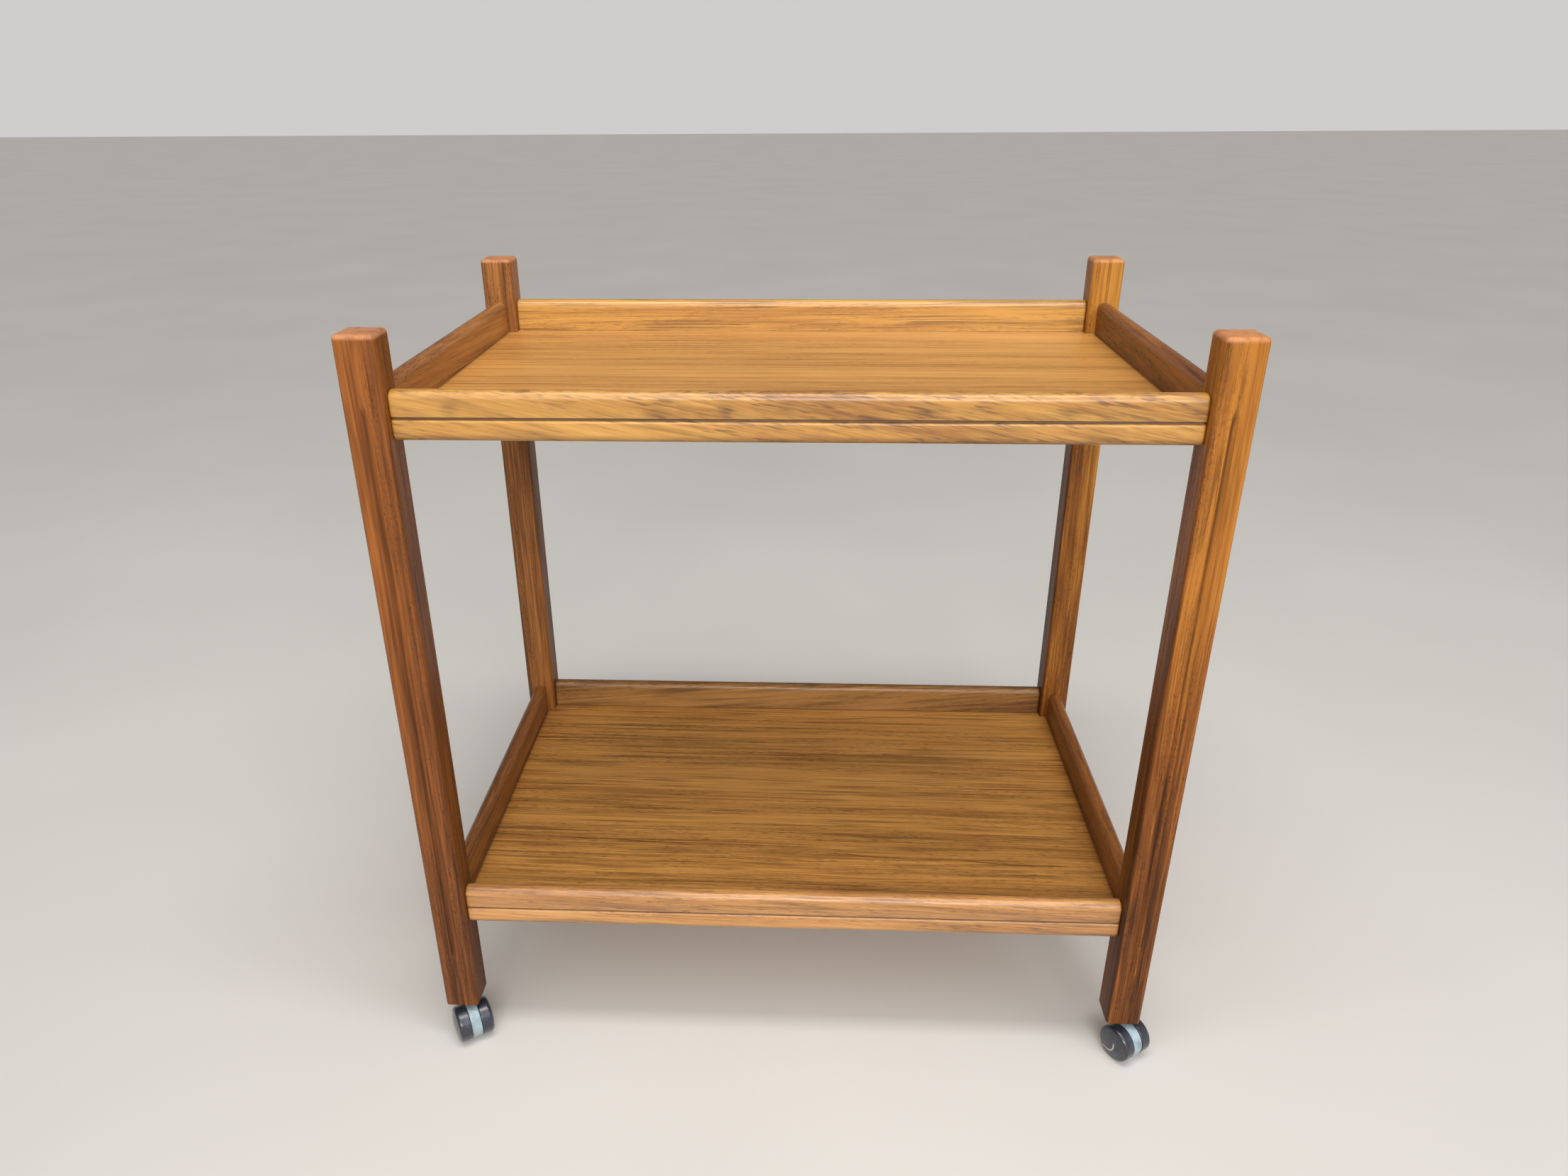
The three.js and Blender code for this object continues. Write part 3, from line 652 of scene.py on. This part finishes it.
def socket_profile(low, high):
    """The socket's section as [radius, height] points: up the tube's outside from the flange,
    over its rim and down the bore, every edge broken by a small chamfer."""
    bore, tube, flange, e = SOCKET_BORE, SOCKET_TUBE, SOCKET_FLANGE, SOCKET_ARRIS
    ledge = low + SOCKET_FLANGE_THICKNESS
    return [(bore, high - e), (bore + e, high), (tube - e, high), (tube, high - e),
            (tube, ledge + e), (tube + e, ledge), (flange - e, ledge), (flange, ledge - e),
            (flange, low + 2 * e), (flange - 2 * e, low), (bore + e, low), (bore, low + e),
            (bore, high - e)]


zinc_steel = zinc()
for corner in CORNERS:
    for part in ("stem", "axle"):
        dress(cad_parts[f"castor_{part}_{corner}"], zinc_steel)
    node = "castor_socket_" + corner
    low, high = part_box(node)
    centre = (low + high) / 2
    rings = turned_rings(socket_profile(low.z, high.z), (centre.x, centre.y, 0), 48)
    socket = closed_skin("socket_" + corner, rings)
    dress(socket, zinc_steel)
    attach(socket, "frame")
    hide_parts(node)


# ---- Castor housings ----
# A moulded housing in pale blue-grey plastic stands between each pair of wheels: a drum as
# wide as the gap, a neck that leans over the axle's lead, and a collar round the stem.
HOUSING_RADIUS = 19.5 * MM
HOUSING_HALF = 5.6 * MM
HOUSING_EDGE = 0.7 * MM
HOUSING_FLAT_Z = 4 * MM
WHEEL_CENTRE_Z = 20 * MM
COLLAR_RADIUS = 8.5 * MM
COLLAR_HEIGHT = 3.9 * MM
COLLAR_BORE = 4.5 * MM
NECK_RADIUS = 5.4 * MM
NECK_FLARE_RISE = 3.7 * MM
NECK_FLARE_FOOT = 8 * MM
NECK_FOOT_Z = 24 * MM
CASTOR_TURN = np.radians(32)


def axle_frame(corner):
    """Where a castor's two wheels have their shared middle, and the axle's turn about z. The rear
    castors stand half a turn round from the front ones."""
    ends = [sum(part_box(f"wheel_{side}_{corner}"), Vector()) / 2 for side in ("left", "right")]
    return (ends[0] + ends[1]) / 2, CASTOR_TURN + (np.pi if "rear" in corner else 0)


def drum_rings(centre, turn):
    """A circle cut off flat at the bottom, carried along the axle. The outline is R e^(ia) over
    the arc and a straight chord under it; each end is drawn in by a small quarter round."""
    drop = WHEEL_CENTRE_Z - HOUSING_FLAT_Z
    start = -np.arcsin(drop / HOUSING_RADIUS)
    a = np.linspace(start, np.pi - start, 97)
    out = np.exp(1j * a)
    chord = np.linspace(-0.8, 0.8, 5) * HOUSING_RADIUS * np.cos(start) - 1j * drop
    outline = np.concatenate([HOUSING_RADIUS * out, chord])
    outward = np.concatenate([out, np.full(len(chord), -1j)])
    end_in, short = quarter_round(HOUSING_EDGE, 6)
    end_h = HOUSING_HALF - short
    h = np.concatenate([-end_h[::-1], end_h])
    inset = np.concatenate([end_in[::-1], end_in])
    section = outline - inset[:, None] * outward
    section = np.concatenate([section[:1] * 0.96, section, section[-1:] * 0.96])
    h = np.concatenate([h[:1], h, h[-1:]])[:, None]
    cos, sin = np.cos(turn), np.sin(turn)
    x = h * cos - section.real * sin
    y = h * sin + section.real * cos
    return np.stack([x, y, section.imag], -1) + np.array(centre)


def neck_profile(top):
    """The neck's section as [radius, height] points, up to the collar's top: a plain neck, a
    flare by a quarter turn, r (1 - cos a) out and h sin a up, the collar, and its bore."""
    a = np.linspace(0, np.pi / 2, 7)
    flare_out = (COLLAR_RADIUS - 0.2 * MM - NECK_RADIUS) * (1 - np.cos(a))
    flare_up = NECK_FLARE_RISE * np.sin(a)
    return np.array([
        (0.5 * MM, NECK_FOOT_Z), (NECK_RADIUS, NECK_FOOT_Z + 0.2 * MM),
        (NECK_RADIUS, top - NECK_FLARE_FOOT - 0.7 * MM),
        *zip(NECK_RADIUS + flare_out, top - NECK_FLARE_FOOT + flare_up),
        (COLLAR_RADIUS, top - COLLAR_HEIGHT), (COLLAR_RADIUS, top - 0.5 * MM),
        (COLLAR_RADIUS - 0.15 * MM, top - 0.15 * MM), (COLLAR_RADIUS - 0.5 * MM, top),
        (COLLAR_BORE + 0.4 * MM, top), (COLLAR_BORE, top - 0.3 * MM),
        (COLLAR_BORE, NECK_FOOT_Z + 6 * MM)])


def housing_plastic():
    """Pale blue-grey plastic, a little yellowed and dusty in patches, with fine scuffs."""
    material, place = new_material("housing_plastic")
    stain = place.cloud(70, 70, 4.0)
    shade = stain.ramp((0.34, chart(126, 142, 148)), (0.52, chart(150, 168, 176)),
                       (0.7, chart(164, 183, 190)))
    speck = place.cloud(900, 900, 2.0).step(0.66, 0.74)
    shade = shade.cover(chart(120, 116, 106), speck * 0.5)
    low_dust = place.part(2).step(0.02, 0.004) * place.cloud(160, 160, 3.0).step(0.3, 0.7)
    shade = shade.cover(chart(150, 142, 126), low_dust * 0.45)
    bump = place.node("Bump", None, {"Strength": 0.15, "Distance": 0.0002, "Height": stain})
    surface(place, {
        "Base Color": shade, "Roughness": stain * 0.2 + 0.34, "Normal": bump, "IOR": 1.5})
    return material


pale_plastic = housing_plastic()
for corner in CORNERS:
    centre, turn = axle_frame(corner)
    node = "castor_housing_" + corner
    body = "castor_" + corner
    housing = closed_skin("housing_" + corner, drum_rings(centre, turn))
    stem = sum(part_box("castor_stem_" + corner), Vector()) / 2
    collar = neck_profile(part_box(node)[1].z)
    neck = closed_skin("collar_" + corner, turned_rings(collar, (stem.x, stem.y, 0), 48))
    for piece in (housing, neck):
        dress(piece, pale_plastic)
        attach(piece, body)
        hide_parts(node)


# ---- Wheels ----
# Two wheels to a castor, moulded in dark grey plastic: a smooth tread, a rounded shoulder and a
# closed, slightly domed outside face. Use has scratched the treads, and a scuff has left a pale
# hook on the face of one.
WHEEL_RADIUS = 20 * MM
WHEEL_SHOULDER = 4.2 * MM
WHEEL_DOME = 2.1 * MM
WHEEL_WIDTH = 15.5 * MM
WHEEL_INSIDE = 5.95 * MM
WHEEL_BORE = 2.67 * MM
WHEEL_HUB = 5.5 * MM
WHEEL_WALL = 3 * MM
WHEEL_LIP = 0.8 * MM
AXLE_REACH = 17.2 * MM
HOOK_RADIUS = 11.3 * MM


def wheel_profile():
    """The wheel's section as [radius, height] points, height along the axle: from its blind bore
    out over the hub, the hollow, the tread and the shoulder, and back to the middle of the domed
    face. The dome falls by dome (r / R)^2 from the middle."""
    outside = WHEEL_INSIDE + WHEEL_WIDTH
    edge = outside - WHEEL_DOME
    web = edge - WHEEL_WALL
    flat = WHEEL_RADIUS - WHEEL_SHOULDER
    rim = WHEEL_RADIUS - WHEEL_WALL
    near = 0.3 * MM
    shoulder_in, shoulder_down = quarter_round(WHEEL_SHOULDER, 12)
    shoulder = np.stack([WHEEL_RADIUS - shoulder_in, edge - shoulder_down], -1)
    r = flat * np.array([0.975, 0.93, 0.8, 0.62, 0.42, 0.22, 0.06])
    face = np.stack([r, outside - WHEEL_DOME * (r / flat) ** 2], -1)
    lip_in, lip_up = quarter_round(WHEEL_LIP, 6)
    lip = np.stack([WHEEL_RADIUS - lip_in, WHEEL_INSIDE + lip_up], -1)[::-1]
    inner = [(near, AXLE_REACH), (WHEEL_BORE, AXLE_REACH), (WHEEL_BORE, WHEEL_INSIDE + near),
             (WHEEL_BORE + near, WHEEL_INSIDE), (WHEEL_HUB, WHEEL_INSIDE),
             (WHEEL_HUB + 0.2 * MM, web), (rim, web), (rim + 0.2 * MM, WHEEL_INSIDE)]
    tread = [(WHEEL_RADIUS, WHEEL_INSIDE + WHEEL_LIP + near),
             (WHEEL_RADIUS, edge - WHEEL_SHOULDER - near)]
    return np.concatenate([inner, lip, tread, shoulder, face])


def hook_mask(y, z):
    """A scuff on the wheel's face: the band within a line's width of an arc, and a straight tail
    from its lower end."""
    dy, dz = y + 7.9 * MM, z - 0.7 * MM
    bowl = y.math("SQRT", dy * dy + dz * dz)
    arc = abs(bowl - HOOK_RADIUS).step(1.0 * MM, 0.5 * MM)
    arc = arc * dy.step(-0.4 * MM, 0.2 * MM) * dz.step(4.4 * MM, 2.8 * MM)
    tail = abs(dz + 10.9 * MM - dy * 0.35).step(0.9 * MM, 0.4 * MM)
    tail = tail * dy.step(0.3 * MM, -0.3 * MM) * dy.step(-5.6 * MM, -4.6 * MM)
    return arc + tail


def wheel_plastic(name, centre, turn, hook):
    """Dark plastic in the wheel's own coordinates, the axle along x. Scratches run round the
    tread, noise drawn out by the angle, dust gathers in patches, and one wheel has the hook."""
    material, place = new_material(name)
    inverse = {"vector_type": "TEXTURE"}
    own = place.node("Mapping", inverse, {0: place, 1: tuple(centre), 2: (0, 0, turn)})
    x, y, z = (own.part(k) for k in range(3))
    around = own.math("ARCTAN2", z, y)
    away = own.math("SQRT", y * y + z * z)
    coiled = own.node("CombineXYZ", None, {0: around * 0.02, 1: x, 2: away})
    scratch = coiled.cloud(70, 1500, 2.0).step(0.58, 0.75)
    patchy = own.cloud(90, 90, 4.0)
    shade = patchy.ramp((0.34, chart(24, 26, 35)), (0.55, chart(34, 38, 52)),
                        (0.72, chart(50, 56, 74)))
    shade = shade.cover(chart(116, 120, 132), scratch * 0.28)
    dust = own.cloud(520, 520, 3.0).step(0.6, 0.8)
    shade = shade.cover(chart(150, 148, 144), dust * 0.3)
    if hook:
        shade = shade.cover(chart(196, 196, 194), hook_mask(y, z) * 0.8)
    bump = own.node("Bump", None, {
        "Strength": 0.2, "Distance": 0.0002, "Height": patchy * 0.6 - scratch * 0.5})
    surface(place, {
        "Base Color": shade, "Roughness": patchy * 0.24 + scratch * 0.15 + 0.16, "Normal": bump,
        "IOR": 1.5, "Coat Weight": 0.6, "Coat Roughness": 0.26})
    return material


profile = wheel_profile()
for corner in CORNERS:
    centre, turn = axle_frame(corner)
    for side in ("left", "right"):
        node = f"wheel_{side}_{corner}"
        facing = turn + (np.pi if side == "left" else 0)
        wheel = closed_skin("moulded_" + node, turned_rings(profile, centre, 96, facing, "x"))
        hook = node == "wheel_left_front_right"
        dress(wheel, wheel_plastic("plastic_" + node, centre, facing, hook))
        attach(wheel, node)
        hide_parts(node)


# ---- Studio ----
# A plain pale floor under a long ceiling panel, with a second panel high in front, a broad soft
# glow from above and a little light all round. The camera stands in front and looks down.
def pale_floor():
    """A flat pale grey with the faintest cloudiness."""
    material, place = new_material("studio_floor")
    soft = place.cloud(1.5, 1.5, 2.0)
    shade = soft.ramp((0.3, chart(206, 203, 198)), (0.7, chart(211, 208, 203)))
    surface(place, {"Base Color": shade, "Roughness": soft * 0.1 + 0.65})
    return material


FLOOR_HALF = 30.0
mesh = bpy.data.meshes.new("floor")
mesh.from_pydata([(x * FLOOR_HALF, y * FLOOR_HALF, 0) for x, y in
                  ((-1, -1), (1, -1), (1, 1), (-1, 1))], [], [(0, 1, 2, 3)])
floor = bpy.data.objects.new("floor", mesh)
bpy.context.scene.collection.objects.link(floor)
dress(floor, pale_floor())


def soft_light(name, at, aim, size, watts):
    """A panel of soft, nearly white light at a point, facing another."""
    lamp = bpy.data.lights.new(name, "AREA")
    lamp.shape, lamp.size, lamp.size_y = "RECTANGLE", *size
    lamp.energy, lamp.color = watts, (1.0, 0.985, 0.97)
    holder = bpy.data.objects.new(name, lamp)
    bpy.context.scene.collection.objects.link(holder)
    holder.location = at
    holder.rotation_euler = (Vector(aim) - Vector(at)).to_track_quat("-Z", "Y").to_euler()


soft_light("ceiling_panel", at=(0.1, -0.6, 2.75), aim=(0.1, -0.6, 0), size=(1.9, 0.4), watts=26)
soft_light("front_panel", at=(0.3, -3.4, 2.05), aim=(0, 0, 0.5), size=(2.2, 0.5), watts=62)
sun = bpy.data.lights.new("sky_glow", "SUN")
sun.energy, sun.angle, sun.color = 1.15, np.radians(70), (1.0, 0.99, 0.98)
sun_holder = bpy.data.objects.new("sky_glow", sun)
bpy.context.scene.collection.objects.link(sun_holder)
sun_holder.rotation_euler = Vector((-0.18, 0.55, -1.0)).to_track_quat("-Z", "Y").to_euler()

# The room's even light is brightest in front of the cart and along the horizon.
world = bpy.data.worlds.new("room_light")
bpy.context.scene.world = world
world.use_nodes = True
world.node_tree.nodes.clear()
away = Tone(world.node_tree).node("TexCoord", output="Generated")
front = (away.part(1) * -1 + away.part(0) * 0.3).step(-0.35, 0.9)
skyline = away.part(2).step(0.2, 0.06)
glow = front * 0.66 + 0.14
glow = glow + skyline * (0.62 - glow) * (1 - front)
air = away.node("Background", None, {"Color": (1.0, 0.99, 0.98, 1.0), "Strength": glow})
away.node("OutputWorld", None, {"Surface": air})

# The camera is turned about the upright, then dipped, then leant about its own view line.
CAMERA_AT = (0.0129, -1.1091, 0.9708)
CAMERA_TURN, CAMERA_DIP, CAMERA_LEAN = -0.0447, -0.4344, -0.0064
eye = bpy.data.cameras.new("camera")
eye.sensor_width, eye.lens = 36, 24.455
eye.shift_x, eye.shift_y = 0.0138, 0.0
camera = bpy.data.objects.new("camera", eye)
bpy.context.scene.collection.objects.link(camera)
ahead = Vector((np.sin(CAMERA_TURN) * np.cos(CAMERA_DIP), np.cos(CAMERA_TURN) * np.cos(CAMERA_DIP),
                np.sin(CAMERA_DIP)))
level = Vector((np.cos(CAMERA_TURN), -np.sin(CAMERA_TURN), 0))
above = level.cross(ahead)
right = level * np.cos(CAMERA_LEAN) + above * np.sin(CAMERA_LEAN)
up = above * np.cos(CAMERA_LEAN) - level * np.sin(CAMERA_LEAN)
facing = Matrix((right, up, -ahead)).transposed()
camera.matrix_world = Matrix.Translation(CAMERA_AT) @ facing.to_4x4()
bpy.context.scene.camera = camera
bpy.context.scene.view_settings.view_transform = "Standard"
